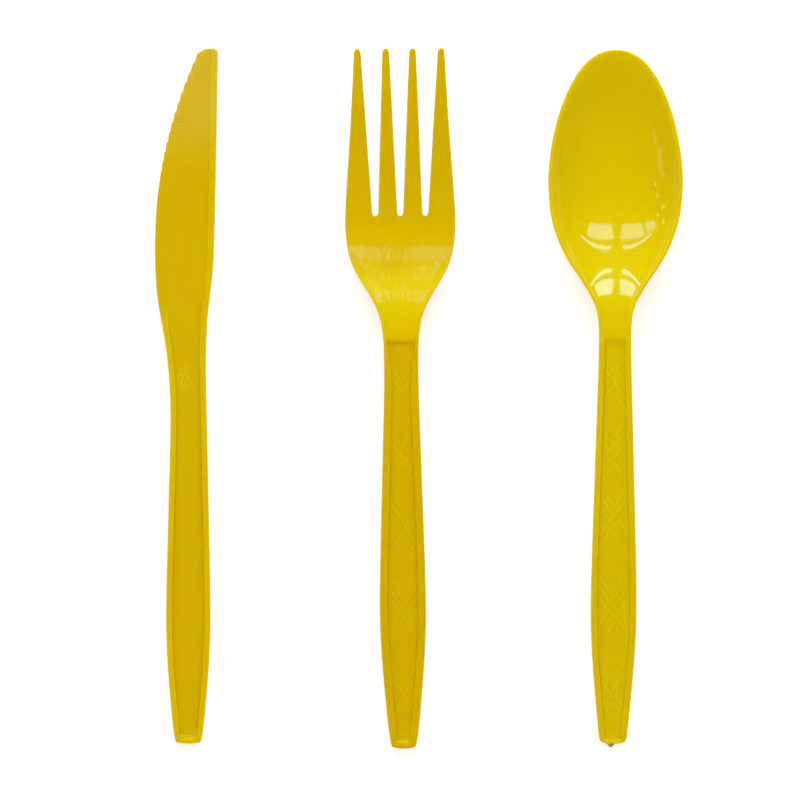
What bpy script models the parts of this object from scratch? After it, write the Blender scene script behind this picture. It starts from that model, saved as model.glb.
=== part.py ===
"""A disposable cutlery set: a knife, a fork and a spoon, each one moulding of yellow plastic.

Each piece is a loft between unlike sections: a framed handle that is an H in section, a neck,
and a blade, a tined head or a cupped bowl. It is drawn as a grid in plan, with a front and a
back height at each grid point, so that it leaves a two-part mould straight up and down. The
grid is the same on both faces, and a band of rims, small edge chamfers and side walls joins
the faces round the outline.

A piece's own frame has the middle of the handle's end at the origin, the length along +Y,
the front upwards and the table at z = 0.
"""
import bisect
import math

import bmesh
import bpy

MM = 0.001
MERGE = 0.01 * MM

# The set: how far apart the handles' ends lie, and how each piece is turned on the table
KNIFE_TO_FORK = 55.4 * MM
FORK_TO_SPOON = 53.7 * MM
KNIFE_END_BACK = 1.3 * MM
SPOON_END_BACK = 1.3 * MM
FORK_TURN = math.radians(0.39)
SPOON_TURN = math.radians(-0.25)

# The plastic
YELLOW = (0.66, 0.42, 0.004, 1.0)
PLASTIC_ROUGHNESS = 0.22

# The framed handles of the fork and the spoon
RAIL_HEIGHT = 3.0 * MM
FRONT_RECESS = 0.7 * MM
WEB = 1.2 * MM
RECESS_SIDE_RUN = 0.2 * MM
CHANNEL_PAST_NECK = 12.0 * MM
HANDLE_CORNER = 0.39 * MM
NECK_BORDER = 0.18 * MM
NECK_RIM = 0.8 * MM
EDGE = 0.2 * MM

# Fork, from the handle's end to the tips
FORK_TAPER = 33.0 * MM
FORK_FLARE = 66.8 * MM
FORK_SHOULDER = 35.4 * MM
FORK_HEAD = 44.8 * MM
FORK_END_HALF = 3.4 * MM
FORK_WIDE_HALF = 5.97 * MM
FORK_NECK_HALF = 4.33 * MM
FORK_HEAD_HALF = 14.2 * MM
FORK_TIP_HALF = 11.6 * MM
FORK_RIM = 1.95 * MM
FORK_END_RIM = 1.3 * MM
FORK_END_RUN = 1.15 * MM
FORK_RECESS_STOP = 4.0 * MM
FORK_RECESS_RUN = 1.0 * MM
FORK_CREST = 11.3 * MM
FORK_CREST_PAST_NECK = 4.4 * MM
FORK_DISH = 0.9 * MM
FORK_PLATE = 1.7 * MM
FORK_LOW_PAST_HEAD = 5.1 * MM
FORK_TIP_RISE = 4.3 * MM
FORK_TIP_DISH = 0.3 * MM
TINE_THICKNESS = 1.25 * MM
TINE_RIM = 0.34 * MM
TINE_TIP_RUN = 1.6 * MM
SLOT_LENGTH = 43.1 * MM
MIDDLE_SLOT_MOUTH_HALF = 2.6 * MM
SIDE_SLOT_MOUTH_HALF = 2.83 * MM
SLOT_ROOT_RADIUS = 0.79 * MM
SLOT_ROOT_MARGIN = 1.7 * MM
SIDE_SLOT_ROOT_OUT = 6.43 * MM
SIDE_SLOT_MOUTH_OUT = 7.12 * MM

# Spoon, from the handle's end to the tip
SPOON_TAPER = 31.5 * MM
SPOON_FLARE = 74.0 * MM
SPOON_SHOULDER = 38.6 * MM
SPOON_NOSE = 34.2 * MM
SPOON_END_HALF = 3.45 * MM
SPOON_WIDE_HALF = 5.94 * MM
SPOON_NECK_HALF = 4.15 * MM
BOWL_HALF = 17.34 * MM
SPOON_RIM = 1.56 * MM
SPOON_END_RIM = 0.45 * MM
SPOON_END_RUN = 0.95 * MM
SPOON_RECESS_STOP = -2.9 * MM
SPOON_RECESS_RUN = 1.6 * MM
SPOON_CREST = 13.0 * MM
SPOON_CREST_BEFORE_NECK = 2.6 * MM
SPOON_NECK_RUN = 4.9 * MM
BOWL_DEPTH = 7.0 * MM
BOWL_LOW_PAST_WIDEST = 1.8 * MM
BOWL_WALL = 1.25 * MM
BOWL_LIP = 1.0 * MM
BOWL_RIM = 0.9 * MM
BOWL_SIDE_RUN = 1.5 * MM
BOWL_TIP_DROP = 0.5 * MM

# Knife, from the handle's end to the tip
KNIFE_TAPER = 29.0 * MM
KNIFE_FLARE = 57.0 * MM
KNIFE_HEEL = 40.7 * MM
KNIFE_BLADE = 52.0 * MM
SPINE_SHOULDER_START = 13.0 * MM
SPINE_SHOULDER = 25.0 * MM
KNIFE_END_HALF = 3.55 * MM
KNIFE_WIDE_HALF = 5.75 * MM
KNIFE_NECK_HALF = 4.53 * MM
BELLY_HALF = 8.61 * MM
EDGE_SIDE_TIP = -2.9 * MM
SPINE_SHOULDER_HALF = 6.5 * MM
SPINE_SIDE_TIP = 7.63 * MM
KNIFE_RIM = 1.5 * MM
KNIFE_END_RIM = 1.05 * MM
KNIFE_END_RUN = 1.05 * MM
KNIFE_PANEL_PAST_NECK = 11.5 * MM
KNIFE_PANEL_STEP = 0.1 * MM
KNIFE_PANEL_RUN = 0.5 * MM
KNIFE_RAIL_HEIGHT = 2.6 * MM
BLADE_THICKNESS = 1.2 * MM
SPINE_THICKNESS = 1.9 * MM
SPINE_WIDTH = 1.7 * MM
CUTTING_EDGE_THICKNESS = 0.5 * MM
CUTTING_BEVEL = 2.2 * MM
TIP_BEVEL = 1.2 * MM
KNIFE_EDGE = 0.12 * MM
KNIFE_RAIL_PAST_NECK = 24.8 * MM
KNIFE_RAIL_SLOPE = 3.6 * MM
TIP_ROUND = 1.2 * MM
TIP_EDGE_INSET = 0.25 * MM
TIP_SPINE_INSET = 0.13 * MM
TOOTH_PITCH = 2.55 * MM
TOOTH_DEPTH = 0.32 * MM
TOOTH_FLANK = 0.35 * MM
TOOTH_RUN = 38.3 * MM

# How the outlines swing between those sizes: (share of the length, share of the change)
TAPER_SHAPE = ((0.63, 0.74),)
FLARE_SHAPE = ((0.59, 0.575),)
FORK_SHOULDER_SHAPE = ((0.26, 0.064), (0.435, 0.292), (0.61, 0.678), (0.783, 0.926))
HEAD_SHAPE = ((0.24, 0.22), (0.59, 0.635))
SPOON_SHOULDER_SHAPE = ((0.13, 0.025), (0.32, 0.296), (0.48, 0.612), (0.64, 0.829), (0.80, 0.956))
HEEL_SHAPE = ((0.344, 0.24), (0.573, 0.621), (0.686, 0.827), (0.838, 0.953))
SPINE_SHAPE = ((0.4, 0.2), (0.7, 0.62))
EDGE_SIDE_POWER = 2.15
KNIFE_TIP_SHARE = 0.6
KNIFE_TIP_POWER = 2.2
NOSE_SIDE_POWER = 2.2
NOSE_TIP_POWER = 1.75
CUP_POWER = 2.3

# How many steps each stretch of a grid is divided into, and where shading turns sharp
HANDLE_STEPS = 13
KNIFE_COLUMNS = 6
KNIFE_NECK_STEPS = 3
RAIL_END_STEPS = 2
HEEL_STEPS = 7
FORK_SHOULDER_STEPS = 11
TINE_STEPS = 9
SPOON_COLUMNS = 8
SPOON_SHOULDER_STEPS = 13
NOSE_STEPS = 8
SHARP_ANGLE = math.radians(35)


def curve_through(points):
    """A smooth curve through (place, value) points that doesn't swing past them."""
    places = [place for place, _ in points]
    values = [value for _, value in points]
    spans = [after - before for before, after in zip(places, places[1:])]
    climbs = [(after - before) / span
              for before, after, span in zip(values, values[1:], spans)]
    slopes = [climbs[0]]
    for before, after in zip(climbs, climbs[1:]):
        turns = before * after <= 0
        slopes.append(0.0 if turns else 2 * before * after / (before + after))
    slopes.append(climbs[-1])

    def value_at(place):
        span = min(max(bisect.bisect_right(places, place) - 1, 0), len(spans) - 1)
        share = min(max((place - places[span]) / spans[span], 0.0), 1.0)
        ease = share * share * (3 - 2 * share)
        leave = share * (1 - share) ** 2 * spans[span] * slopes[span]
        arrive = share ** 2 * (1 - share) * spans[span] * slopes[span + 1]
        return values[span] + ease * (values[span + 1] - values[span]) + leave - arrive

    return value_at


def between(start, stop, shape):
    """The points of one swing of an outline, without its first."""
    shares = shape + ((1.0, 1.0),)
    return [(start[0] + along * (stop[0] - start[0]), start[1] + change * (stop[1] - start[1]))
            for along, change in shares]


def swing(start, stop):
    """A smooth S between two (place, value) points, level at both and steepest halfway."""
    def value_at(place):
        share = min(max((place - start[0]) / (stop[0] - start[0]), 0.0), 1.0)
        return mix(start[1], stop[1], share - math.sin(math.tau * share) / math.tau)

    return value_at


def spread(start, stop, steps):
    """Evenly spaced places after start, up to stop."""
    return [start + (stop - start) * step / steps for step in range(1, steps + 1)]


def mix(first, second, share):
    return first + (second - first) * share


def outline_path(cells, mirrored):
    """The grid points round the cells, in order, with the material on the left."""
    sides = set()
    for row, column in cells:
        corners = [(row, column), (row, column + 1), (row + 1, column + 1), (row + 1, column)]
        sides.update(zip(corners, corners[1:] + corners[:1]))
    following = {}
    for start, stop in sides:
        on_mirror = mirrored and start[1] == 0 and stop[1] == 0
        if (stop, start) not in sides and not on_mirror:
            following[start] = stop
    first = min(following.keys() - set(following.values())) if mirrored else min(following)
    path = [first]
    while path[-1] in following and following[path[-1]] != first:
        path.append(following[path[-1]])
    return path


def inward_normals(points, mirrored):
    """At each point of an outline, the unit direction into the material."""
    if mirrored:
        before = (-points[1][0], points[1][1])
        after = (-points[-2][0], points[-2][1])
    else:
        before, after = points[-1], points[0]
    chain = [before] + points + [after]
    headings = []
    for start, stop in zip(chain, chain[1:]):
        length = math.dist(start, stop)
        headings.append(((stop[0] - start[0]) / length, (stop[1] - start[1]) / length))
    normals = []
    for arrive, leave in zip(headings, headings[1:]):
        x, y = arrive[0] + leave[0], arrive[1] + leave[1]
        length = math.hypot(x, y)
        normals.append((-y / length, x / length))
    return normals


def corner_rim(side_rim, end_rim):
    """The rim's width across a cut corner of a handle's end."""
    return math.hypot(side_rim - HANDLE_CORNER, end_rim - HANDLE_CORNER)


def mould(name, plan, cells, inner, band, edge, mirrored):
    """Make one closed piece from its plan grid.

    plan gives x and y of each grid point. inner gives the front and back height of a grid
    point inside the outline. band gives, for a point on the outline, the rim's width, the
    front height at the rim's inner side and at the outline, and the same two at the back.
    """
    path = outline_path(cells, mirrored)
    normals = inward_normals([plan[key] for key in path], mirrored)
    shell = bmesh.new()
    front, back, loops = {}, {}, {}
    for key, (across, along) in zip(path, normals):
        x, y = plan[key]
        width, front_in, front_out, back_in, back_out = band(key, x, y, across, along)
        levels = ((width, front_in), (edge, front_out), (0.0, front_out - edge),
                  (0.0, back_out + edge), (edge, back_out), (width, back_in))
        loops[key] = [shell.verts.new((x + across * step, y + along * step, height))
                      for step, height in levels]
        front[key], back[key] = loops[key][0], loops[key][-1]
    corners = {(row + up, column + out)
               for row, column in cells for up in (0, 1) for out in (0, 1)}
    for key in sorted(corners - set(path)):
        x, y = plan[key]
        high, low = inner(key, x, y)
        front[key] = shell.verts.new((x, y, high))
        back[key] = shell.verts.new((x, y, low))
    for row, column in sorted(cells):
        ring = [(row, column), (row, column + 1), (row + 1, column + 1), (row + 1, column)]
        shell.faces.new([front[key] for key in ring])
        shell.faces.new([back[key] for key in reversed(ring)])
    closing = [] if mirrored else [path[0]]
    for start, stop in zip(path, path[1:] + closing):
        for level in range(len(levels) - 1):
            shell.faces.new((loops[stop][level], loops[start][level],
                             loops[start][level + 1], loops[stop][level + 1]))
    mesh = bpy.data.meshes.new(name)
    shell.to_mesh(mesh)
    shell.free()
    piece = bpy.data.objects.new(name, mesh)
    if mirrored:
        mirror = piece.modifiers.new("both sides", "MIRROR")
        mirror.use_axis = (True, False, False)
        mirror.merge_threshold = MERGE
    return piece


def knife():
    """The knife: a flat web in a frame, a serrated edge on the left and a raised spine."""
    wide_at = KNIFE_TAPER
    neck_at = wide_at + KNIFE_FLARE
    belly_at = neck_at + KNIFE_HEEL
    tip_at = belly_at + KNIFE_BLADE
    handle = [(0.0, KNIFE_END_HALF)]
    handle += between(handle[-1], (wide_at, KNIFE_WIDE_HALF), TAPER_SHAPE)
    handle += between(handle[-1], (neck_at, KNIFE_NECK_HALF), FLARE_SHAPE)
    heel = between(handle[-1], (belly_at, BELLY_HALF), HEEL_SHAPE)
    edge_side = curve_through(handle + heel)
    spine = [(0.0, KNIFE_END_HALF)]
    spine += between(spine[-1], (wide_at, KNIFE_WIDE_HALF), TAPER_SHAPE)
    shoulder_at = neck_at + SPINE_SHOULDER_START
    spine += between(spine[-1], (shoulder_at, KNIFE_NECK_HALF), FLARE_SHAPE)
    shoulder = (shoulder_at + SPINE_SHOULDER, SPINE_SHOULDER_HALF)
    spine += between(spine[-1], shoulder, SPINE_SHAPE)
    spine_side = curve_through(spine + [(tip_at, SPINE_SIDE_TIP)])
    teeth_from = tip_at - TOOTH_PITCH / 2
    panel_stop = neck_at + KNIFE_PANEL_PAST_NECK
    rail_stop = neck_at + KNIFE_RAIL_PAST_NECK
    rail_ends = rail_stop - KNIFE_RAIL_SLOPE
    middle = KNIFE_RAIL_HEIGHT / 2
    left_rim = curve_through([(rail_ends, KNIFE_RIM), (rail_stop, CUTTING_BEVEL),
                              (belly_at, CUTTING_BEVEL), (tip_at, TIP_BEVEL)])
    left_half = curve_through([(rail_ends, KNIFE_RAIL_HEIGHT / 2),
                               (rail_stop, BLADE_THICKNESS / 2)])
    edge_half = curve_through([(rail_ends, KNIFE_RAIL_HEIGHT / 2),
                               (rail_stop, CUTTING_EDGE_THICKNESS / 2)])
    spine_half = curve_through([(neck_at, KNIFE_RAIL_HEIGHT / 2),
                                (belly_at, SPINE_THICKNESS / 2)])
    spine_rim = curve_through([(neck_at, KNIFE_RIM), (belly_at, SPINE_WIDTH)])
    columns = KNIFE_COLUMNS

    def left(y):
        past = max(y - belly_at, 0.0) / KNIFE_BLADE
        return -mix(edge_side(y), EDGE_SIDE_TIP, past ** EDGE_SIDE_POWER)

    def tooth(y):
        """How far the edge is cut back: a short flank, then a long one."""
        from_tip = teeth_from - y
        if not 0.0 < from_tip < TOOTH_RUN:
            return 0.0
        share = from_tip % TOOTH_PITCH / TOOTH_PITCH
        flank = TOOTH_FLANK / TOOTH_PITCH
        fade = min(1.0, 2.0 * (1.0 - from_tip / TOOTH_RUN))
        return TOOTH_DEPTH * fade * (share / (1 - flank) if share < 1 - flank
                                     else (1 - share) / flank)

    handle_rows = [0.0, KNIFE_END_RIM + KNIFE_END_RUN]
    handle_rows += spread(handle_rows[-1], panel_stop, HANDLE_STEPS)
    blade_rows = [panel_stop + KNIFE_PANEL_RUN]
    blade_rows += spread(blade_rows[-1], rail_ends, KNIFE_NECK_STEPS)
    blade_rows += spread(rail_ends, rail_stop, RAIL_END_STEPS)
    blade_rows += spread(rail_stop, teeth_from - TOOTH_RUN, HEEL_STEPS)
    tooth_rows = []
    for number in range(int(TOOTH_RUN / TOOTH_PITCH), 0, -1):
        peak = teeth_from - number * TOOTH_PITCH
        tooth_rows += [peak + MERGE, peak + TOOTH_FLANK]
    rows = handle_rows + blade_rows + tooth_rows + [teeth_from]
    last = len(rows)
    plan = {}
    for row, y in enumerate(rows):
        inner_left = left(y) + left_rim(y) + RECESS_SIDE_RUN
        inner_right = spine_side(y) - spine_rim(y) - RECESS_SIDE_RUN
        plan[row, 0] = (left(y) + tooth(y), y)
        for column in range(1, columns):
            share = (column - 1) / (columns - 2)
            plan[row, column] = (mix(inner_left, inner_right, share), y)
        plan[row, columns] = (spine_side(y), y)
    plan[0, 0] = (left(0.0) + HANDLE_CORNER, HANDLE_CORNER)
    plan[0, columns] = (spine_side(0.0) - HANDLE_CORNER, HANDLE_CORNER)
    for column in range(1, columns):
        share = 2 * (column - 1) / (columns - 2) - 1
        plan[0, column] = (share * (KNIFE_END_HALF - KNIFE_RIM - HANDLE_CORNER), 0.0)
    tip_left = left(teeth_from) + TIP_EDGE_INSET
    tip_right = spine_side(teeth_from) - TIP_SPINE_INSET
    for column in range(columns + 1):
        share = column / columns
        fall = TIP_ROUND * abs(share / KNIFE_TIP_SHARE - 1) ** KNIFE_TIP_POWER
        plan[last, column] = (mix(tip_left, tip_right, share), tip_at - fall)
    cells = {(row, column) for row in range(last) for column in range(columns)}

    def inner(key, x, y):
        step = KNIFE_PANEL_STEP if 0 < key[0] <= len(handle_rows) - 1 else 0.0
        half = BLADE_THICKNESS / 2
        return middle + half - step, middle - half

    def band(key, x, y, across, along):
        row, column = key
        if column == columns and row < last:
            width, inside, outside = spine_rim(y), spine_half(y), spine_half(y)
        elif row == last:
            width, inside = TIP_BEVEL, BLADE_THICKNESS / 2
            outside = mix(CUTTING_EDGE_THICKNESS, SPINE_THICKNESS, column / columns) / 2
            inside = max(inside, outside)
        else:
            width, inside, outside = left_rim(y), left_half(y), edge_half(y)
        if row == 0:
            inside = outside = KNIFE_RAIL_HEIGHT / 2
            width = KNIFE_END_RIM
            if column in (0, columns):
                width = corner_rim(KNIFE_RIM, KNIFE_END_RIM)
        return width, middle + inside, middle + outside, middle - inside, middle - outside

    return mould("knife", plan, cells, inner, band, KNIFE_EDGE, mirrored=False)


def fork():
    """The fork: half of it is drawn, with one and a half of the slots between the tines."""
    wide_at = FORK_TAPER
    neck_at = wide_at + FORK_FLARE
    head_at = neck_at + FORK_SHOULDER
    tip_at = head_at + FORK_HEAD
    root_at = tip_at - SLOT_LENGTH
    turn_at = root_at + SLOT_ROOT_RADIUS
    low_at = head_at + FORK_LOW_PAST_HEAD
    crest_at = neck_at + FORK_CREST_PAST_NECK
    recess_stop = neck_at + FORK_RECESS_STOP
    outline = [(0.0, FORK_END_HALF)]
    outline += between(outline[-1], (wide_at, FORK_WIDE_HALF), TAPER_SHAPE)
    outline += between(outline[-1], (neck_at, FORK_NECK_HALF), FLARE_SHAPE)
    outline += between(outline[-1], (head_at, FORK_HEAD_HALF), FORK_SHOULDER_SHAPE)
    outline += between(outline[-1], (tip_at, FORK_TIP_HALF), HEAD_SHAPE)
    half_width = curve_through(outline)
    climb = curve_through([(0.0, RAIL_HEIGHT), (crest_at, FORK_CREST), (tip_at, FORK_CREST)])
    fall = swing((crest_at, 0.0), (low_at, FORK_CREST - FORK_PLATE - FORK_DISH))
    rise = curve_through([(head_at, 0.0), (low_at, 0.0), (tip_at, FORK_TIP_RISE)])
    section = curve_through([(neck_at, RAIL_HEIGHT), (head_at, FORK_PLATE),
                             (low_at, FORK_PLATE), (tip_at, TINE_THICKNESS)])
    rim = curve_through([(neck_at, FORK_RIM), (crest_at, NECK_RIM), (low_at, TINE_RIM)])
    dish = curve_through([(crest_at, 0.0), (head_at, FORK_DISH), (tip_at, FORK_TIP_DISH)])
    border = curve_through([(crest_at, NECK_BORDER), (head_at, 0.0)])
    channel_stop = neck_at + CHANNEL_PAST_NECK
    slot_half = (0, 1, 2)
    tine_in = (2, 3, 4, 5)
    slot_side = (5, 6, 7, 8, 9)
    tine_out = (9, 10, 11, 12)
    columns = tine_out[-1]

    def slot_edges(y):
        """The three edges between tines and slots on one side of the middle."""
        share = (y - turn_at) / (tip_at - turn_at)
        half = mix(SLOT_ROOT_RADIUS, SIDE_SLOT_MOUTH_HALF, share)
        out = mix(SIDE_SLOT_ROOT_OUT, SIDE_SLOT_MOUTH_OUT, share)
        return mix(SLOT_ROOT_RADIUS, MIDDLE_SLOT_MOUTH_HALF, share), out - half, out + half

    plan = {}
    rows = [0.0, FORK_END_RIM + FORK_END_RUN]
    rows += spread(rows[-1], recess_stop, HANDLE_STEPS)
    recess_row = len(rows) - 1
    rows += [recess_stop + FORK_RECESS_RUN]
    rows += spread(rows[-1], root_at - SLOT_ROOT_MARGIN, FORK_SHOULDER_STEPS)
    root_row = len(rows)
    first, second, third = slot_edges(turn_at)
    plate_places = [0.0, first / 2, first]
    plate_places += [mix(first, second, share / 3) for share in (1, 2, 3)]
    plate_places += [mix(second, third, share / 4) for share in (1, 2, 3, 4)]
    plate_places += [mix(third, half_width(turn_at), share / 3) for share in (1, 2)]
    for row, y in enumerate(rows):
        side = half_width(y)
        ease = min(max((y - crest_at) / (head_at - crest_at), 0.0), 1.0)
        ease = ease * ease * (3 - 2 * ease)
        for column in range(columns):
            handle_place = (side - rim(y) - RECESS_SIDE_RUN) * column / (columns - 1)
            plate_place = plate_places[column] * side / half_width(turn_at)
            plan[row, column] = (mix(handle_place, plate_place, ease), y)
        plan[row, columns] = (side, y)
    plan[0, columns] = (FORK_END_HALF - HANDLE_CORNER, HANDLE_CORNER)
    for column in range(columns):
        end_place = FORK_END_HALF - FORK_RIM - HANDLE_CORNER
        plan[0, column] = (end_place * column / (columns - 1), 0.0)

    tine_rows = [turn_at] + spread(turn_at, tip_at - TINE_TIP_RUN, TINE_STEPS) + [tip_at]
    last = root_row + len(tine_rows) - 1
    for row, y in enumerate(tine_rows, root_row):
        first, second, third = slot_edges(y)
        for tine, inside, outside in ((tine_in, first, second),
                                      (tine_out, third, half_width(y))):
            for number, column in enumerate(tine):
                share = number / (len(tine) - 1)
                if row < last:
                    plan[row, column] = (mix(inside, outside, share), y)
                else:
                    radius = (outside - inside) / 2
                    angle = math.pi * share
                    plan[row, column] = (inside + radius - radius * math.cos(angle),
                                         y - radius + radius * math.sin(angle))
    for number, column in enumerate(slot_half):
        angle = math.pi / 2 * number / (len(slot_half) - 1)
        plan[root_row, column] = (SLOT_ROOT_RADIUS * math.sin(angle),
                                  turn_at - SLOT_ROOT_RADIUS * math.cos(angle))
    for number, column in enumerate(slot_side):
        angle = math.pi * number / (len(slot_side) - 1)
        plan[root_row, column] = (SIDE_SLOT_ROOT_OUT - SLOT_ROOT_RADIUS * math.cos(angle),
                                  turn_at - SLOT_ROOT_RADIUS * math.sin(angle))
    cells = {(row, column) for row in range(last) for column in range(columns)
             if row < root_row or column in tine_in[:-1] or column in tine_out[:-1]}

    def front(x, y):
        share = x / half_width(y)
        return climb(y) - fall(y) + rise(y) - dish(y) * (1 - share * share)

    def inner(key, x, y):
        sink = FRONT_RECESS if 0 < key[0] <= recess_row else border(y)
        face = front(x, y)
        thickness = FRONT_RECESS + WEB if y < channel_stop else section(y)
        return face - sink, face - thickness

    def band(key, x, y, across, along):
        row, column = key
        width = rim(y)
        if row == 0:
            width = FORK_END_RIM if column < columns else corner_rim(FORK_RIM, FORK_END_RIM)
        high = front(x, y)
        low_face = high - section(y)
        return width, high, high, low_face, low_face

    return mould("fork", plan, cells, inner, band, EDGE, mirrored=True)


def spoon():
    """The spoon: half of it is drawn, and the grid bends round the nose of the bowl."""
    wide_at = SPOON_TAPER
    neck_at = wide_at + SPOON_FLARE
    bowl_at = neck_at + SPOON_SHOULDER
    low_at = bowl_at + BOWL_LOW_PAST_WIDEST
    tip_at = bowl_at + SPOON_NOSE
    crest_at = neck_at - SPOON_CREST_BEFORE_NECK
    recess_stop = neck_at + SPOON_RECESS_STOP
    outline = [(0.0, SPOON_END_HALF)]
    outline += between(outline[-1], (wide_at, SPOON_WIDE_HALF), TAPER_SHAPE)
    outline += between(outline[-1], (neck_at, SPOON_NECK_HALF), FLARE_SHAPE)
    outline += between(outline[-1], (bowl_at, BOWL_HALF), SPOON_SHOULDER_SHAPE)
    half_width = curve_through(outline)
    climb = curve_through([(0.0, RAIL_HEIGHT), (crest_at, SPOON_CREST), (tip_at, SPOON_CREST)])
    fall = swing((crest_at, 0.0), (low_at, SPOON_CREST - BOWL_DEPTH - BOWL_WALL))
    nose_fall = swing((low_at, 0.0), (tip_at, BOWL_TIP_DROP))
    section = curve_through([(neck_at, RAIL_HEIGHT), (bowl_at, BOWL_LIP)])
    rim = curve_through([(recess_stop, SPOON_RIM), (recess_stop + SPOON_NECK_RUN, NECK_RIM),
                         (bowl_at, BOWL_RIM)])
    depth = swing((crest_at, 0.0), (low_at, BOWL_DEPTH))
    border = curve_through([(crest_at, NECK_BORDER), (bowl_at, 0.0)])
    channel_stop = neck_at + CHANNEL_PAST_NECK
    columns = SPOON_COLUMNS

    def rim_line(y):
        return climb(y) - fall(y) - nose_fall(y)

    def reach(x, y):
        """How far a place lies from the middle of the bowl, with 1 at its outline."""
        if y <= bowl_at:
            return (x / half_width(y)) ** (NOSE_SIDE_POWER / 2)
        return math.hypot((x / BOWL_HALF) ** (NOSE_SIDE_POWER / 2),
                          ((y - bowl_at) / SPOON_NOSE) ** (NOSE_TIP_POWER / 2))

    rows = [0.0, SPOON_END_RIM + SPOON_END_RUN]
    rows += spread(rows[-1], recess_stop, HANDLE_STEPS)
    recess_row = len(rows) - 1
    rows += [recess_stop + SPOON_RECESS_RUN]
    rows += spread(rows[-1], bowl_at, SPOON_SHOULDER_STEPS)
    bowl_row = len(rows) - 1
    side_run = curve_through([(crest_at, RECESS_SIDE_RUN), (bowl_at, BOWL_SIDE_RUN)])
    plan = {}
    for row, y in enumerate(rows):
        side = half_width(y)
        inside = side - rim(y) - side_run(y)
        for column in range(columns):
            plan[row, column] = (inside * (column / (columns - 1)) ** (2 / NOSE_SIDE_POWER), y)
        plan[row, columns] = (side, y)
    plan[0, columns] = (SPOON_END_HALF - HANDLE_CORNER, HANDLE_CORNER)
    for column in range(columns):
        end_place = SPOON_END_HALF - SPOON_RIM - HANDLE_CORNER
        plan[0, column] = (end_place * column / (columns - 1), 0.0)
    inner_reach = reach(BOWL_HALF - BOWL_RIM - BOWL_SIDE_RUN, bowl_at)
    steps = [inner_reach * step / (NOSE_STEPS - 1) for step in range(NOSE_STEPS)] + [1.0]
    places = [inner_reach * column / (columns - 1) for column in range(columns)] + [1.0]
    for number in range(1, NOSE_STEPS + 1):
        for column in range(columns + 1):
            along, across = steps[number], places[column]
            out = max(along, across)
            angle = along / across if across >= along else 2 - across / along
            angle *= math.pi / 4
            plan[bowl_row + number, column] = (
                BOWL_HALF * (out * math.cos(angle)) ** (2 / NOSE_SIDE_POWER),
                bowl_at + SPOON_NOSE * (out * math.sin(angle)) ** (2 / NOSE_TIP_POWER))
        plan[bowl_row + number, 0] = (0.0, plan[bowl_row + number, 0][1])
    last = bowl_row + NOSE_STEPS
    cells = {(row, column) for row in range(last) for column in range(columns)}

    def cup(x, y, rim_width):
        """How much of the depth is left at a place: 1 in the middle and 0 at the rim."""
        edge_reach = (1 - rim_width / half_width(y)) ** (NOSE_SIDE_POWER / 2)
        return max(0.0, 1 - (reach(x, y) / edge_reach) ** CUP_POWER)

    def back(x, y):
        wall = (BOWL_WALL - BOWL_LIP) * depth(y) / BOWL_DEPTH
        return rim_line(y) - section(y) - (depth(y) + wall) * cup(x, y, 0.0)

    def inner(key, x, y):
        sink = FRONT_RECESS if 0 < key[0] <= recess_row else border(y)
        face = rim_line(y) - depth(y) * cup(x, y, rim(y))
        low_face = face - FRONT_RECESS - WEB if y < channel_stop else back(x, y)
        return face - sink, low_face

    def band(key, x, y, across, along):
        row, column = key
        width = rim(y)
        if row == 0:
            width = SPOON_END_RIM if column < columns else corner_rim(SPOON_RIM, SPOON_END_RIM)
        high = rim_line(y)
        low_out = high - section(y)
        low_in = back(x + across * width, y + along * width)
        return width, high, high, low_in, low_out

    return mould("spoon", plan, cells, inner, band, EDGE, mirrored=True)


def plastic(name):
    material = bpy.data.materials.new(name)
    material.use_nodes = True
    shader = material.node_tree.nodes["Principled BSDF"]
    shader.inputs["Base Color"].default_value = YELLOW
    shader.inputs["Roughness"].default_value = PLASTIC_ROUGHNESS
    shader.inputs["Metallic"].default_value = 0.0
    return material


def lay_out(pieces, carrier):
    """Lay the pieces side by side, with the middle of the whole set over the origin."""
    places = {
        "knife": ((-KNIFE_TO_FORK, KNIFE_END_BACK), 0.0),
        "fork": ((0.0, 0.0), FORK_TURN),
        "spoon": ((FORK_TO_SPOON, SPOON_END_BACK), SPOON_TURN),
    }
    for name, piece in pieces.items():
        (x, y), turn = places[name]
        piece.parent = carrier
        piece.location = (x, y, -min(vertex.co.z for vertex in piece.data.vertices))
        piece.rotation_euler = (0.0, 0.0, turn)
    bpy.context.view_layer.update()
    graph = bpy.context.evaluated_depsgraph_get()
    points = []
    for piece in pieces.values():
        solid = piece.evaluated_get(graph)
        points += [solid.matrix_world @ vertex.co for vertex in solid.data.vertices]
    for axis in (0, 1):
        low = min(point[axis] for point in points)
        high = max(point[axis] for point in points)
        carrier.location[axis] = -(low + high) / 2


def main():
    for thing in list(bpy.data.objects):
        bpy.data.objects.remove(thing, do_unlink=True)
    cutlery = bpy.data.collections.new("disposable_cutlery_set")
    bpy.context.scene.collection.children.link(cutlery)
    carrier = bpy.data.objects.new("set", None)
    cutlery.objects.link(carrier)
    pieces = {piece.name: piece for piece in (knife(), fork(), spoon())}
    for name, piece in pieces.items():
        cutlery.objects.link(piece)
        piece.data.materials.append(plastic(f"{name}_plastic"))
        piece.data.shade_smooth()
        piece.data.set_sharp_from_angle(angle=SHARP_ANGLE)
    lay_out(pieces, carrier)


main()
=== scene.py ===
"""The looks of a disposable cutlery set: a knife, a fork and a spoon of glossy yellow plastic.

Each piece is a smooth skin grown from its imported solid, with the low ridges that the mould
leaves on the handle's panel, and it rides on the set's one body.
"""
import math

import bpy
from mathutils import Matrix, Vector
from mathutils.bvhtree import BVHTree


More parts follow.
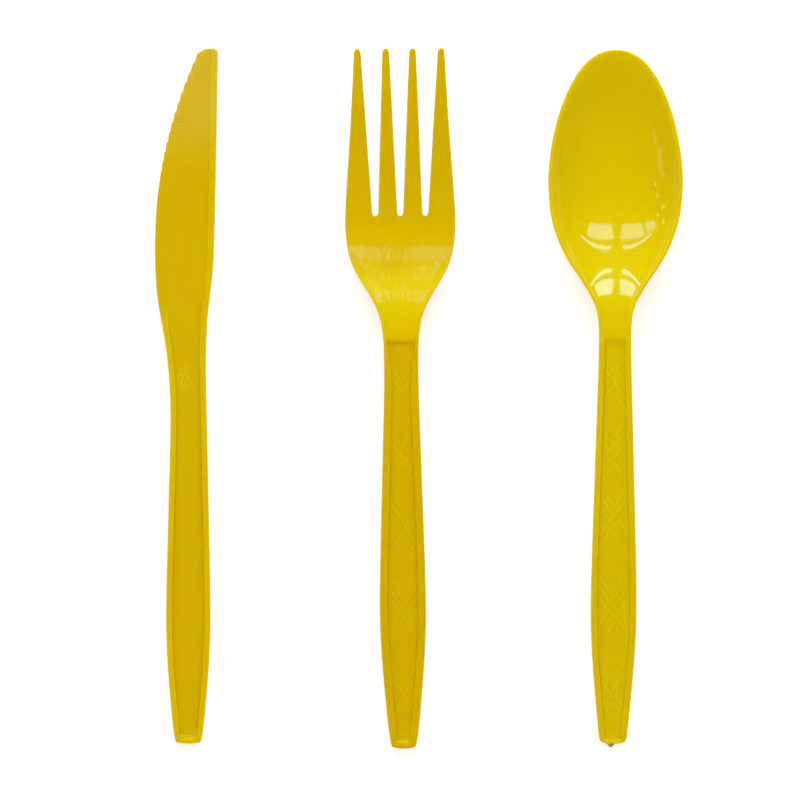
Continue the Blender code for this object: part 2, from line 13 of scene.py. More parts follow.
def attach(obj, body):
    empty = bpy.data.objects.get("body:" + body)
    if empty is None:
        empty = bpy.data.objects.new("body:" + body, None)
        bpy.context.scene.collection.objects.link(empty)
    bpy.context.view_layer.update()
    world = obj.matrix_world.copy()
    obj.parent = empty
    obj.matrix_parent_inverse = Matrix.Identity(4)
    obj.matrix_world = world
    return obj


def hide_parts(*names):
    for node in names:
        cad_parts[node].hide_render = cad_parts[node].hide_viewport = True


bl_info = {
    "name": "Disposable Cutlery Set",
    "version": (1, 0, 0),
    "blender": (4, 5, 0),
    "location": "3D View > Sidebar > Cutlery",
    "description": "Gives a moulded plastic knife, fork and spoon their skins, ridges and stage",
    "category": "Object",
}

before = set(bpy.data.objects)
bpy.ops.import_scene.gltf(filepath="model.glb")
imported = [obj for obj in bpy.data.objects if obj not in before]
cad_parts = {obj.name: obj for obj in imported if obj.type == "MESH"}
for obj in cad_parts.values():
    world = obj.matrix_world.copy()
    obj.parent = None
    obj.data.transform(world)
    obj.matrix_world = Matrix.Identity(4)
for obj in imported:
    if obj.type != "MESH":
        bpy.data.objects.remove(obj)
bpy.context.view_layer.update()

MM = 0.001
BODY = "root"

# Growing a skin: points closer than the first are one, and two triangles become a quad
# where they turn less than the second and skew it less than the third
MERGE_DISTANCE = 0.002 * MM
QUAD_TURN = math.radians(30)
QUAD_SKEW = math.radians(60)

# Diamonds of the lattice, from the head down, in millimetres: how far each one's middle lies
# from the handle's end, and half its length
KNIFE_DIAMONDS = ((80.6, 5.2), (62.0, 6.4), (44.0, 6.8), (25.0, 6.6))
FORK_DIAMONDS = ((100.4, 6.2), (83.9, 6.6), (67.3, 6.0), (45.8, 7.0), (23.7, 7.3), (3.6, 7.3))
SPOON_DIAMONDS = ((101.8, 6.6), (84.4, 5.7), (66.5, 5.6), (46.9, 6.9), (23.7, 7.1), (1.0, 7.1))
# Outlines at the lattice's two ends, and the clearance, as a share of the gap between two
# lines, that outlines keep from the first one of the next diamond
END_OUTLINES = 2
LINE_CLEARANCE = 0.35
# How far from the handle's side an arm of the lattice ends, and the rounds that settle it
ARM_INSET = 1.0 * MM
ARM_ROUNDS = 4

# The round bar that ridges are copied from
BAR_SIDES = 12
BAR_CUTS = 5
BAR_SMOOTH = math.radians(40)

# The small v on the fork's panel: its point, and how far across and along each arm runs
V_POINT = (0.4 * MM, 45.0 * MM)
V_ARM = (0.5 * MM, 0.9 * MM)

# The gate stub: its sides, its cuts, and its tip's width as a share of its root's
STUB_SIDES = 14
STUB_CUTS = 2
STUB_TIP = 0.28
STUB_SMOOTH = math.radians(50)
# How far its middle lies beyond the handle's end, as a share of its length, and below the
# front face at a place a little up the handle, as a share of its height
STUB_OUT = 0.35
STUB_DROP = 0.8
STUB_FACE_PLACE = 1.5 * MM
# How far the tear moves its points, as a share of its width
STUB_TEAR = 0.09

# Patterns of the plastic, by how often each repeats in a metre. The flow is drawn out along
# the piece
DRIFT_SCALE = 26.0
FLOW_SCALE = 600.0
WAVE_SCALE = 110.0
GRAIN_SCALE = 2600.0
FLOW_STRETCH = (1.0, 0.08, 1.0)
# How far each moves the colour from deep towards pale
DRIFT_TONE = 0.3
FLOW_TONE = 0.12
# Painted sheen: how much paler the knife's raised spine is painted
PAINTED_SHEEN_TONE = 0.3
# Painted light: how much paler the neck is painted, and how far that fades in at each end of its
# stretch
PAINTED_NECK_LIGHT_TONE = 0.45
PAINTED_NECK_LIGHT_FADE = 3.0 * MM
# How far each changes the roughness
DRIFT_ROUGHNESS = 0.05
GRAIN_ROUGHNESS = 0.03
# How deep the relief is, and the shares of it that waves and grain have
RELIEF = 0.02 * MM
WAVE_RELIEF = 0.6
GRAIN_RELIEF = 0.012
# The weight of the clear coat where it is thinnest, and what it gains
COAT_BASE = 0.1
COAT_GAIN = 0.75
PLASTIC_IOR = 1.5
# How far red, green and blue light wander below the surface, as shares of the light reach
REACH_BY_COLOUR = (1.0, 0.6, 0.1)

# The glow near the horizon that the gloss shows: heights, as sines, and strength
HORIZON_LOW = 0.02
HORIZON_HIGH = 0.14
HORIZON_GLOW = 0.5
TABLE_GREY = 0.7
TABLE_GLOW = 0.55
# The window's soft light: its height above the horizon, its distance and its size
DAYLIGHT_HEIGHT = math.radians(38)
DAYLIGHT_DISTANCE = 2.0
DAYLIGHT_SIZE = (1.6, 1.2)
# The window's panes on the wall that it stands in: the middle's place across and height in
# metres, the width, the height, how far it leans in degrees, and how bright it is
WINDOW_PANES = (
    (0.92, 2.04, 1.50, 0.94, 7.0, 1.0),
    (-0.82, 2.04, 1.46, 0.94, -7.0, 0.85),
    (-2.36, 1.80, 1.20, 0.84, -9.0, 0.7),
    (1.10, 1.33, 1.86, 0.075, 6.0, 1.6),
    (-1.10, 1.33, 2.00, 0.075, -6.0, 1.6),
)
# Other bright things in the room: azimuth and height in degrees, width, depth, radiance
SMALL_LIGHTS = (
    (-97.0, 27.0, 0.22, 0.26, 0.9),
    (-104.0, 33.0, 0.10, 0.10, 1.5),
    (-91.0, 22.0, 0.10, 0.14, 1.6),
    (-85.0, 37.0, 0.07, 0.07, 4.0),
    (-79.0, 31.0, 0.06, 0.08, 3.5),
    (-70.0, 36.0, 0.06, 0.05, 3.5),
    (-62.0, 45.0, 0.10, 0.05, 3.0),
    (-74.0, 19.0, 0.08, 0.16, 3.5),
    (-64.0, 25.0, 0.05, 0.14, 4.0),
    (-62.0, 14.0, 0.12, 0.08, 3.0),
)
WHITE = (1.0, 1.0, 1.0)
SET_MIDDLE = (0.0, 0.0, 0.0)
FARTHEST_SEEN = 100.0


class MouldSettings(bpy.types.PropertyGroup):
    """Sizes that the mould gives to the surfaces."""

    crease: bpy.props.FloatProperty(
        name="Edge crease", description="How crisp the moulded edges stay, from 0 to 1",
        default=0.72, min=0.0, max=1.0)
    sharp: bpy.props.FloatProperty(
        name="Edge angle", description="Edges that turn more than this are kept crisp",
        default=math.radians(17), subtype="ANGLE")
    smoothing: bpy.props.IntProperty(
        name="Smoothing", description="Rounds of subdivision of each skin",
        default=2, min=0, max=3)
    ridge: bpy.props.FloatProperty(
        name="Ridge thickness", description="Thickness of the round bar under a ridge",
        default=0.8 * MM, unit="LENGTH")
    ridge_height: bpy.props.FloatProperty(
        name="Ridge height", description="How far a lattice ridge stands above its panel",
        default=0.06 * MM, unit="LENGTH")
    faint_height: bpy.props.FloatProperty(
        name="Faint height", description="How far a lattice ridge on the knife stands up",
        default=0.015 * MM, unit="LENGTH")
    lattice_slope: bpy.props.FloatProperty(
        name="Lattice slope", description="Angle between a lattice ridge and the handle",
        default=math.radians(35), subtype="ANGLE")
    line_gap: bpy.props.FloatProperty(
        name="Line gap", description="Distance between a diamond's outlines, along the handle",
        default=2.57 * MM, unit="LENGTH")


class PlasticSettings(bpy.types.PropertyGroup):
    """The coloured plastic that the three pieces are moulded from."""

    pale_colour: bpy.props.FloatVectorProperty(
        name="Pale colour", description="Colour where the pigment is thin", subtype="COLOR",
        size=3, default=(0.74, 0.54, 0.001), min=0.0, max=1.0)
    deep_colour: bpy.props.FloatVectorProperty(
        name="Deep colour", description="Colour where the pigment is dense", subtype="COLOR",
        size=3, default=(0.62, 0.385, 0.0005), min=0.0, max=1.0)
    roughness: bpy.props.FloatProperty(
        name="Roughness", description="Roughness of the moulded surface",
        default=0.07, min=0.0, max=1.0)
    frost: bpy.props.FloatProperty(
        name="Frost", description="Roughness that a frosted stretch adds",
        default=0.4, min=0.0, max=1.0)
    translucency: bpy.props.FloatProperty(
        name="Translucency", description="Share of the light that wanders below the surface",
        default=0.8, min=0.0, max=1.0)
    reach: bpy.props.FloatProperty(
        name="Light reach", description="How far the light wanders below the surface",
        default=0.6 * MM, unit="LENGTH")


class StageSettings(bpy.types.PropertyGroup):
    """The white table, the light and the camera."""

    floor_size: bpy.props.FloatProperty(
        name="Table", description="Width of the white table", default=6.0, unit="LENGTH")
    view_width: bpy.props.FloatProperty(
        name="View width", description="Width of the table that the camera sees",
        default=205.7 * MM, unit="LENGTH")
    view_centre: bpy.props.FloatVectorProperty(
        name="View centre", description="Place of the table that the camera looks at",
        size=2, default=(-4.82 * MM, -0.39 * MM), unit="LENGTH")
    lens: bpy.props.FloatProperty(
        name="Lens", description="Focal length in millimetres", default=800.0)
    daylight: bpy.props.FloatProperty(
        name="Daylight", description="Power of the window's soft light, in watts", default=30.0)
    daylight_tint: bpy.props.FloatVectorProperty(
        name="Daylight tint", description="Colour of the window's soft light",
        subtype="COLOR", size=3, default=(0.8, 1.15, 1.15))
    room_light: bpy.props.FloatVectorProperty(
        name="Room light", description="Colour of the light from all round",
        subtype="COLOR", size=3, default=(0.77, 0.69, 0.60))
    window_distance: bpy.props.FloatProperty(
        name="Window distance", description="How far beyond the pieces the window stands",
        default=2.0, unit="LENGTH")
    window_glare: bpy.props.FloatProperty(
        name="Window glare", description="Radiance of the window in the gloss", default=4.5)
    window_tint: bpy.props.FloatVectorProperty(
        name="Window tint", description="Colour of the window in the gloss",
        subtype="COLOR", size=3, default=(0.5, 0.9, 1.0))


def select_only(piece):
    """Select one piece and nothing else."""
    bpy.ops.object.select_all(action="DESELECT")
    piece.select_set(True)
    bpy.context.view_layer.objects.active = piece


def skin_of(node):
    """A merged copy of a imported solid, with crisp edges, smoothed by subdivision."""
    mould = bpy.context.scene.cutlery_mould
    skin = bpy.data.objects.new(f"{node}_skin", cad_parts[node].data.copy())
    bpy.context.scene.collection.objects.link(skin)
    select_only(skin)
    bpy.ops.object.mode_set(mode="EDIT")
    bpy.ops.mesh.select_mode(type="EDGE")
    bpy.ops.mesh.select_all(action="SELECT")
    bpy.ops.mesh.remove_doubles(threshold=MERGE_DISTANCE)
    bpy.ops.mesh.tris_convert_to_quads(face_threshold=QUAD_TURN, shape_threshold=QUAD_SKEW)
    bpy.ops.mesh.select_all(action="DESELECT")
    bpy.ops.mesh.edges_select_sharp(sharpness=mould.sharp)
    bpy.ops.transform.edge_crease(value=mould.crease)
    bpy.ops.object.mode_set(mode="OBJECT")
    smooth = skin.modifiers.new("smooth", "SUBSURF")
    smooth.levels = smooth.render_levels = mould.smoothing
    bpy.ops.object.modifier_apply(modifier=smooth.name)
    bpy.ops.object.shade_smooth()
    return skin


class Handle:
    """Where a handle lies, read from its skin.

    It is read in rows a step apart, each from the points within a reach of it, and its front
    face is met from above.
    """

    STEP = 1.0 * MM
    REACH = 1.2 * MM
    ABOVE = 1.0

    def __init__(self, skin):
        points = [vertex.co for vertex in skin.data.vertices]
        self.tree = BVHTree.FromObject(skin, bpy.context.evaluated_depsgraph_get())
        self.end = min(point.y for point in points)
        rows = {}
        for point in points:
            along = point.y - self.end
            for row in range(math.ceil((along - self.REACH) / self.STEP),
                             math.floor((along + self.REACH) / self.STEP) + 1):
                rows.setdefault(row, []).append(point.x)
        self.rows = {row: (min(across), max(across)) for row, across in rows.items()}

    def sides(self, along):
        """The left and right side of the handle at a distance from its end."""
        row = math.floor(along / self.STEP)
        share = along / self.STEP - row
        return tuple(near + (far - near) * share
                     for near, far in zip(self.rows[row], self.rows[row + 1]))

    def middle(self, along):
        """Halfway between the sides."""
        return sum(self.sides(along)) / 2

    def face(self, along):
        """The height of the front face in the handle's middle."""
        above = Vector((self.middle(along), self.end + along, self.ABOVE))
        return self.tree.ray_cast(above, Vector((0, 0, -1)))[0].z


def ridge_bar():
    """A round bar along +Y, one unit long and thick, that each ridge is a copy of."""
    bpy.ops.object.select_all(action="DESELECT")
    bpy.ops.mesh.primitive_cylinder_add(vertices=BAR_SIDES, radius=0.5, depth=1.0,
                                        rotation=(math.pi / 2, 0, 0))
    bar = bpy.context.object
    bpy.ops.object.transform_apply(location=True, rotation=True, scale=True)
    bpy.ops.object.mode_set(mode="EDIT")
    bpy.ops.mesh.select_mode(type="EDGE")
    bpy.ops.object.mode_set(mode="OBJECT")
    # The edges that run along the bar are cut, so that it can follow a curved panel
    for edge in bar.data.edges:
        start, stop = (bar.data.vertices[index].co for index in edge.vertices)
        edge.select = abs(start.y - stop.y) > 0.5
    bpy.ops.object.mode_set(mode="EDIT")
    bpy.ops.mesh.subdivide(number_cuts=BAR_CUTS)
    bpy.ops.object.mode_set(mode="OBJECT")
    bpy.ops.object.shade_smooth_by_angle(angle=BAR_SMOOTH)
    return bar


def ridge(bar, handle, start, stop, height):
    """A copy of the bar from start to stop, sunk so that its top stands height above.

    start and stop are places of the handle: how far across from its middle, and how far
    along from its end.
    """
    mould = bpy.context.scene.cutlery_mould
    mesh = bar.data.copy()
    piece = bpy.data.objects.new("ridge", mesh)
    bpy.context.scene.collection.objects.link(piece)
    run = Vector((stop[0] - start[0], stop[1] - start[1], 0.0))
    centre = Vector(((start[0] + stop[0]) / 2, (start[1] + stop[1]) / 2, 0.0))
    turn = Matrix.Rotation(math.atan2(-run.x, run.y), 4, "Z")
    size = Matrix.Diagonal((mould.ridge, run.length, mould.ridge, 1.0))
    mesh.transform(Matrix.Translation(centre) @ turn @ size)
    for vertex in mesh.vertices:
        across, along, up = vertex.co
        vertex.co = (handle.middle(along) + across, handle.end + along,
                     handle.face(along) + height + up - mould.ridge / 2)
    return piece


def arm(handle, apex, side, slope, low, high):
    """The ends of a lattice arm, from the middle of the panel into the rail beside it."""
    reach = 0.0
    for _ in range(ARM_ROUNDS):
        along = min(max(apex + reach * slope, low), high)
        left, right = handle.sides(along)
        reach = (right - left) / 2 - ARM_INSET
    stop = apex + reach * slope
    share = (min(max(stop, low), high) - apex) / (stop - apex)
    return (0.0, apex), (side * reach * share, apex + (stop - apex) * share)


def apexes(diamonds, line_gap):
    """Where the diamonds' outlines come to a point, from the handle's end, and which way.

    Each diamond has outlines at both ends, which repeat towards the next diamond and cross
    its own.
    """
    points = []
    for index, (middle, half) in enumerate(diamonds):
        for way in (1, -1):
            lines = END_OUTLINES
            if 0 <= index - way < len(diamonds):
                next_middle, next_half = diamonds[index - way]
                room = (abs(next_middle - middle) - half - next_half) * MM
                lines = math.ceil(room / line_gap - LINE_CLEARANCE)
            points += [(middle * MM + way * (half * MM + line * line_gap), way)
                       for line in range(lines)]
    return points


def lattice(handle, bar, diamonds, low, high, height):
    """The diamonds on a handle's panel, between two distances from its end."""
    mould = bpy.context.scene.cutlery_mould
    steep = 1 / math.tan(mould.lattice_slope)
    return [ridge(bar, handle, *arm(handle, apex, side, -way * steep, low, high), height)
            for apex, way in apexes(diamonds, mould.line_gap) if low < apex < high
            for side in (1, -1)]


def hatch(handle, bar, centre, lines, pitch, length, slope, height):
    """A small patch of crossing ridges round a place of the handle."""
    ridges = []
    for way in (1, -1):
        half = Vector((way * math.sin(slope), math.cos(slope))) * length / 2
        for line in range(lines):
            shift = (line - (lines - 1) / 2) * pitch
            place = Vector((centre[0] + shift, centre[1]))
            ridges.append(ridge(bar, handle, place - half, place + half, height))
    return ridges


def small_v(handle, bar, height):
    """The two ridges of the v on the fork's panel."""
    across, along = V_POINT
    return [ridge(bar, handle, V_POINT, (across + side * V_ARM[0], along + V_ARM[1]), height)
            for side in (-1, 1)]


def join_marks(node, marks):
    """The marks on one piece as one object."""
    select_only(marks[0])
    for each in marks:
        each.select_set(True)
    bpy.ops.object.join()
    joined = bpy.context.object
    joined.name = f"{node}_marks"
    return joined


def gate_stub(handle, across, width, length, height, seed):
    """The torn stub that the mould's gate leaves on a handle's end."""
    bpy.ops.object.select_all(action="DESELECT")
    bpy.ops.mesh.primitive_cone_add(vertices=STUB_SIDES, radius1=0.5, radius2=0.5 * STUB_TIP,
                                    depth=1.0, rotation=(math.pi / 2, 0, 0))
    stub = bpy.context.object
    bpy.ops.object.transform_apply(location=True, rotation=True, scale=True)
    stub.scale = (width, length, height)
    stub.location = (handle.middle(0.0) + across, handle.end - length * STUB_OUT,
                     handle.face(STUB_FACE_PLACE) - height * STUB_DROP)
    bpy.ops.object.transform_apply(location=True, rotation=True, scale=True)
    bpy.ops.object.mode_set(mode="EDIT")
    bpy.ops.mesh.select_all(action="SELECT")
    bpy.ops.mesh.subdivide(number_cuts=STUB_CUTS)
    bpy.ops.transform.vertex_random(offset=width * STUB_TEAR, seed=seed)
    bpy.ops.object.mode_set(mode="OBJECT")
    bpy.ops.object.shade_smooth_by_angle(angle=STUB_SMOOTH)
    stub.name = "gate_stub"
    return stub


class Wire:
    """A socket of a node tree, with arithmetic that adds the Math nodes it needs."""

    def __init__(self, tree, socket=None):
        self.tree = tree
        self.socket = socket

    def node(self, kind, sockets, output=0, **settings):
        """Add a node, set it up, feed its sockets and return one of its outputs."""
        node = self.tree.nodes.new(kind)
        for name, value in settings.items():
            setattr(node, name, value)
        for name, value in sockets.items():
            if isinstance(value, Wire):
                value.feed(node, name)
            else:
                node.inputs[name].default_value = value
        return Wire(self.tree, node.outputs[output])

    def feed(self, node, name):
        """Link the wire to a socket of a node."""
        self.tree.links.new(self.socket, node.inputs[name])

    def beside(self, output):
        """Another output of the wire's own node."""
        return Wire(self.tree, self.socket.node.outputs[output])

    def maths(self, operation, first, second):
        """What a Math node makes of two values."""
        return self.node("ShaderNodeMath", {0: first, 1: second}, operation=operation)

    def __add__(self, other):
        return self.maths("ADD", self, other)

    def __radd__(self, other):
        return self.maths("ADD", other, self)

    def __sub__(self, other):
        return self.maths("SUBTRACT", self, other)

    def __rsub__(self, other):
        return self.maths("SUBTRACT", other, self)

    def __mul__(self, other):
        return self.maths("MULTIPLY", self, other)

    def __rmul__(self, other):
        return self.maths("MULTIPLY", other, self)


def rise(wires, place, axis, start, stop):
    """A wire that goes from 0 to 1 between two places along an axis."""
    along = wires.node("ShaderNodeSeparateXYZ", {"Vector": place}, output=axis)
    return wires.node("ShaderNodeMapRange", {"Value": along, "From Min": start,
                                             "From Max": stop},
                      interpolation_type="SMOOTHSTEP")


def noise(wires, place, scale, detail, seed=None):
    """A noise from 0 to 1, which a seed takes along a fourth dimension."""
    sockets = {"Vector": place, "Scale": scale, "Detail": detail}
    if seed is None:
        return wires.node("ShaderNodeTexNoise", sockets)
    return wires.node("ShaderNodeTexNoise", {**sockets, "W": seed}, noise_dimensions="4D")


def swing(pattern, share):
    """A noise as a swing to both sides of 0."""
    return (pattern - 0.5) * share


def plastic(name, seed, tone, ripple, gloss, coated=None, frosted=None, lifted=None,
            thin=None, solid=False):
    """Glossy moulded plastic: drifting pigment, flow along the piece, faint waves.

    tone goes from 0, the deep colour, to 1, the pale one. ripple is how much the flow
    waves the surface, and gloss how strongly it mirrors. coated and frosted are pairs of
    places along +Y: a clear coat sets in towards the second one, and so does frost. lifted
    is the pair of heights between which the colour is painted paler, a painted sheen on the
    knife's raised spine, and thin is the stretch along +Y that is painted paler, painted light
    on the neck. No light wanders below the surface of solid plastic.
    """
    look = bpy.context.scene.cutlery_plastic
    material = bpy.data.materials.new(name)
    material.use_nodes = True
    tree = material.node_tree
    shader = tree.nodes["Principled BSDF"]
    wires = Wire(tree)
    place = wires.node("ShaderNodeTexCoord", {}, output="Object")
    flow_place = wires.node("ShaderNodeMapping", {"Vector": place, "Scale": FLOW_STRETCH,
                                                  "Location": (seed, seed, 0.0)})
    drift = noise(wires, place, DRIFT_SCALE, 2.0, seed=seed)
    flow = noise(wires, flow_place, FLOW_SCALE, 2.0)
    waves = noise(wires, place, WAVE_SCALE, 1.0, seed=seed)
    grain = noise(wires, place, GRAIN_SCALE, 2.0)
    density_and_painted_light = tone + swing(drift, DRIFT_TONE) + swing(flow, FLOW_TONE)
    # Painted sheen: above a height the colour is painted paler, on the knife's raised spine
    if lifted:
        density_and_painted_light = density_and_painted_light + rise(wires, place, "Z", *lifted) * PAINTED_SHEEN_TONE
    # Painted light: a stretch of the neck is painted paler
    if thin:
        start, stop = thin
        painted_neck_light = (rise(wires, place, "Y", start - PAINTED_NECK_LIGHT_FADE, start + PAINTED_NECK_LIGHT_FADE)
                   - rise(wires, place, "Y", stop - PAINTED_NECK_LIGHT_FADE, stop + PAINTED_NECK_LIGHT_FADE))
        density_and_painted_light = density_and_painted_light + painted_neck_light * PAINTED_NECK_LIGHT_TONE
    colour = wires.node("ShaderNodeMix", {"Factor": density_and_painted_light, 6: (*look.deep_colour, 1.0),
                                          7: (*look.pale_colour, 1.0)}, output=2,
                        data_type="RGBA")
    roughness = look.roughness + swing(drift, DRIFT_ROUGHNESS) + swing(grain, GRAIN_ROUGHNESS)
    if frosted:
        roughness = roughness + rise(wires, place, "Y", *frosted) * look.frost
    relief = waves * WAVE_RELIEF + flow * ripple + grain * GRAIN_RELIEF
    bump = wires.node("ShaderNodeBump", {"Height": relief, "Strength": 1.0,
                                         "Distance": RELIEF})
    colour.feed(shader, "Base Color")
    roughness.feed(shader, "Roughness")
    bump.feed(shader, "Normal")
    if coated:
        coat = rise(wires, place, "Y", *coated) * COAT_GAIN + COAT_BASE
        coat.feed(shader, "Coat Weight")
    shader.inputs["Coat Roughness"].default_value = look.roughness
    shader.inputs["IOR"].default_value = PLASTIC_IOR
    shader.inputs["Specular IOR Level"].default_value = gloss
    shader.inputs["Subsurface Weight"].default_value = 0.0 if solid else look.translucency
    shader.inputs["Subsurface Radius"].default_value = REACH_BY_COLOUR
    shader.inputs["Subsurface Scale"].default_value = look.reach
    return material


def finish_piece(piece, material):
    """Give a piece its plastic, and tie it to the set's body."""
    piece.data.materials.clear()
    piece.data.materials.append(material)
    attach(piece, BODY)


class CUTLERY_OT_knife(bpy.types.Operator):
    """Make the knife's skin, its hatched patch and the faint lattice on its handle"""

    bl_idname = "cutlery.knife"
    bl_label = "Knife"

    def execute(self, context):
        mould = context.scene.cutlery_mould
        skin = skin_of("knife")
        handle = Handle(skin)
        bar = ridge_bar()
        marks = lattice(handle, bar, KNIFE_DIAMONDS, low=3.0 * MM, high=88.0 * MM,
                        height=mould.faint_height)
        marks += hatch(handle, bar, centre=(-1.1 * MM, 94.0 * MM), lines=3, pitch=1.25 * MM,
                       length=7.0 * MM, slope=math.radians(24), height=0.1 * MM)
        bpy.data.objects.remove(bar)
        # Painted sheen: the knife's raised spine, from 2.0 mm up, is painted paler
        yellow = plastic("knife_yellow_plastic", seed=1.7, tone=0.32, ripple=0.1, gloss=0.5,
                         frosted=(56 * MM, 74 * MM), lifted=(2.0 * MM, 2.3 * MM))
        finish_piece(skin, yellow)
        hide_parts("knife")
        # Painted highlight: the knife's ridges are painted paler than the skin beneath, for the
        # glare they catch
        solid = plastic("knife_ridge_painted_highlight", seed=1.7, tone=0.52, ripple=0.1, gloss=0.5,
                        solid=True)
        finish_piece(join_marks("knife", marks), solid)
        return {"FINISHED"}


class CUTLERY_OT_fork(bpy.types.Operator):
    """Make the fork's skin, the lattice on its handle and the small v in one diamond"""

    bl_idname = "cutlery.fork"
    bl_label = "Fork"

    def execute(self, context):
        mould = context.scene.cutlery_mould
        skin = skin_of("fork")
        handle = Handle(skin)
        bar = ridge_bar()
        marks = lattice(handle, bar, FORK_DIAMONDS, low=2.2 * MM, high=103.6 * MM,
                        height=mould.ridge_height)
        marks += small_v(handle, bar, mould.ridge_height)
        bpy.data.objects.remove(bar)
        # Painted light: the fork's neck, from 15 to 32 mm along +Y, is painted paler
        yellow = plastic("fork_yellow_plastic", seed=5.2, tone=0.28, ripple=6.0, gloss=0.15,
                         thin=(15 * MM, 32 * MM))
        finish_piece(skin, yellow)
        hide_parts("fork")
        # Painted highlight: the fork's ridges are painted paler than the skin beneath, for the
        # glare they catch
        solid = plastic("fork_ridge_painted_highlight", seed=5.2, tone=0.37, ripple=0.5, gloss=0.15,
                        solid=True)
        finish_piece(join_marks("fork", marks), solid)
        return {"FINISHED"}


class CUTLERY_OT_spoon(bpy.types.Operator):
    """Make the spoon's skin, the lattice on its handle and the gate's stub on its end"""

    bl_idname = "cutlery.spoon"
    bl_label = "Spoon"

    def execute(self, context):
        mould = context.scene.cutlery_mould
        skin = skin_of("spoon")
        handle = Handle(skin)
        bar = ridge_bar()
        marks = lattice(handle, bar, SPOON_DIAMONDS, low=1.2 * MM, high=102.2 * MM,
                        height=mould.ridge_height)
        bpy.data.objects.remove(bar)
        stub = gate_stub(handle, across=-0.55 * MM, width=2.3 * MM, length=0.9 * MM,
                         height=1.0 * MM, seed=4)
        # Painted light: the spoon's neck, from 16 to 32 mm along +Y, is painted paler
        yellow = plastic("spoon_yellow_plastic", seed=9.4, tone=0.84, ripple=0.1, gloss=0.45,
                         coated=(33.5 * MM, 31.0 * MM), thin=(16 * MM, 32 * MM))
        finish_piece(skin, yellow)
        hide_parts("spoon")
        finish_piece(stub, yellow)
        # Painted highlight: the spoon's ridges are painted a little paler than the skin beneath,
        # for the glare they catch
        solid = plastic("spoon_ridge_painted_highlight", seed=9.4, tone=0.86, ripple=0.1, gloss=0.36,
                        solid=True)
        finish_piece(join_marks("spoon", marks), solid)
        return {"FINISHED"}


def area_lamp(name, place, target, width, height, power, colour=WHITE):
    """A lamp of a size that faces a target, unseen by the camera itself."""
    lamp = bpy.data.lights.new(name, "AREA")
    lamp.shape = "RECTANGLE"
    lamp.size, lamp.size_y = width, height
    lamp.energy = power
    lamp.color = colour
    thing = bpy.data.objects.new(name, lamp)
    bpy.context.scene.collection.objects.link(thing)
    thing.location = place
    thing.rotation_euler = (Vector(target) - Vector(place)).to_track_quat("-Z", "Y").to_euler()
    thing.visible_camera = False
    return thing


def glare_lamp(name, place, target, width, height, radiance, colour=WHITE, lean=0.0):
    """A lamp that shows in the gloss and doesn't light what it shines on."""
    power = radiance * math.pi * width * height
    lamp = area_lamp(name, place, target, width, height, power, colour)
    lamp.visible_diffuse = False
    lamp.rotation_euler.rotate_axis("Z", lean)
    return lamp


def towards(azimuth, height, distance):
    """A place at a distance, turned from +Y towards +X, at a height above the horizon."""
    flat = math.cos(height) * distance
    return Vector((math.sin(azimuth) * flat, math.cos(azimuth) * flat,
                   math.sin(height) * distance))


def white_table():
    """White, and pure white to the camera and in reflections where no shadow falls."""
    material = bpy.data.materials.new("white_table")
    material.use_nodes = True
    tree = material.node_tree
    shader = tree.nodes["Principled BSDF"]
    shader.inputs["Base Color"].default_value = (TABLE_GREY, TABLE_GREY, TABLE_GREY, 1.0)
    shader.inputs["Roughness"].default_value = 1.0
    shader.inputs["Specular IOR Level"].default_value = 0.0
    shader.inputs["Emission Color"].default_value = (*WHITE, 1.0)
    seen = Wire(tree).node("ShaderNodeLightPath", {}, output="Is Camera Ray")
    glow = seen + seen.beside("Is Glossy Ray") + seen.beside("Is Transmission Ray")
    (glow * TABLE_GLOW).feed(shader, "Emission Strength")
    return material


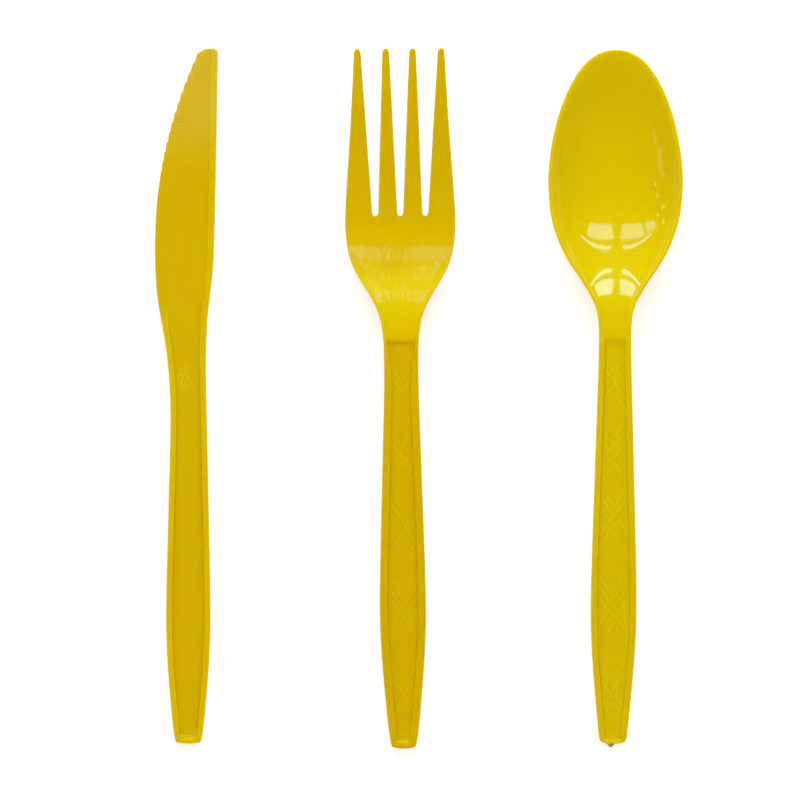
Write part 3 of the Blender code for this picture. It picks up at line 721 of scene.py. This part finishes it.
class CUTLERY_OT_stage(bpy.types.Operator):
    """Make the white table, the light and the camera"""

    bl_idname = "cutlery.stage"
    bl_label = "Stage"

    def execute(self, context):
        stage = context.scene.cutlery_stage
        bpy.ops.object.select_all(action="DESELECT")
        bpy.ops.mesh.primitive_plane_add(size=stage.floor_size)
        floor = context.object
        floor.name = "table"
        floor.data.materials.append(white_table())
        self.room(context, stage)
        self.window(stage)
        self.camera(context, stage)
        return {"FINISHED"}

    def room(self, context, stage):
        """Even light from all round, which the gloss shows only near the horizon."""
        world = bpy.data.worlds.new("room")
        context.scene.world = world
        world.use_nodes = True
        tree = world.node_tree
        wires = Wire(tree)
        direction = wires.node("ShaderNodeTexCoord", {}, output="Generated")
        height = wires.node("ShaderNodeSeparateXYZ", {"Vector": direction}, output="Z")
        horizon = wires.node("ShaderNodeMapRange", {"Value": height, "From Min": HORIZON_LOW,
                                                    "From Max": HORIZON_HIGH,
                                                    "To Min": HORIZON_GLOW, "To Max": 0.0})
        seen = wires.node("ShaderNodeLightPath", {}, output="Is Camera Ray")
        glossy = seen.beside("Is Glossy Ray")
        ambient = tree.nodes["Background"]
        ambient.inputs["Color"].default_value = (*stage.room_light, 1.0)
        white = wires.node("ShaderNodeBackground", {"Strength": seen + glossy * horizon})
        room = wires.node("ShaderNodeMixShader", {"Fac": seen + glossy,
                                                  1: Wire(tree, ambient.outputs[0]),
                                                  2: white})
        room.feed(tree.nodes["World Output"], "Surface")
        for number, (azimuth, high, width, depth, radiance) in enumerate(SMALL_LIGHTS):
            place = towards(math.radians(azimuth), math.radians(high), stage.window_distance)
            glare_lamp(f"small_light_{number}", place, SET_MIDDLE, width, depth, radiance)

    def window(self, stage):
        """The window's soft light, and its panes as the gloss shows them."""
        daylight = area_lamp("daylight", towards(0.0, DAYLIGHT_HEIGHT, DAYLIGHT_DISTANCE),
                             SET_MIDDLE, *DAYLIGHT_SIZE, stage.daylight, stage.daylight_tint)
        daylight.visible_glossy = False
        for number, (across, up, width, height, lean, bright) in enumerate(WINDOW_PANES):
            place = Vector((across, stage.window_distance, up))
            glare_lamp(f"pane_{number}", place, place - Vector((0, 1, 0)), width, height,
                       stage.window_glare * bright, stage.window_tint, math.radians(lean))

    def camera(self, context, stage):
        """A camera far above that looks straight down."""
        data = bpy.data.cameras.new("camera")
        data.lens = stage.lens
        data.clip_end = FARTHEST_SEEN
        camera = bpy.data.objects.new("camera", data)
        context.scene.collection.objects.link(camera)
        distance = stage.view_width * stage.lens / data.sensor_width
        camera.location = (*stage.view_centre, distance)
        context.scene.camera = camera
        context.scene.view_settings.view_transform = "Standard"


class CUTLERY_PT_panel(bpy.types.Panel):
    """The sizes, the colours and the operators of the set"""

    bl_label = "Cutlery"
    bl_idname = "CUTLERY_PT_panel"
    bl_space_type = "VIEW_3D"
    bl_region_type = "UI"
    bl_category = "Cutlery"

    def draw(self, context):
        for group in (context.scene.cutlery_mould, context.scene.cutlery_plastic,
                      context.scene.cutlery_stage):
            box = self.layout.box()
            for name in group.__annotations__:
                box.prop(group, name)
        for operator in OPERATORS:
            self.layout.operator(operator.bl_idname)


OPERATORS = (CUTLERY_OT_knife, CUTLERY_OT_fork, CUTLERY_OT_spoon, CUTLERY_OT_stage)
CLASSES = (MouldSettings, PlasticSettings, StageSettings, *OPERATORS, CUTLERY_PT_panel)


def register():
    """Make the settings, the operators and the panel known to Blender."""
    for each in CLASSES:
        bpy.utils.register_class(each)
    scene = bpy.types.Scene
    scene.cutlery_mould = bpy.props.PointerProperty(type=MouldSettings)
    scene.cutlery_plastic = bpy.props.PointerProperty(type=PlasticSettings)
    scene.cutlery_stage = bpy.props.PointerProperty(type=StageSettings)


def unregister():
    """Undo what register does."""
    del bpy.types.Scene.cutlery_stage
    del bpy.types.Scene.cutlery_plastic
    del bpy.types.Scene.cutlery_mould
    for each in reversed(CLASSES):
        bpy.utils.unregister_class(each)


def main():
    """Make the set and its stage."""
    register()
    bpy.ops.cutlery.knife()
    bpy.ops.cutlery.fork()
    bpy.ops.cutlery.spoon()
    bpy.ops.cutlery.stage()


if __name__ == "__main__":
    main()
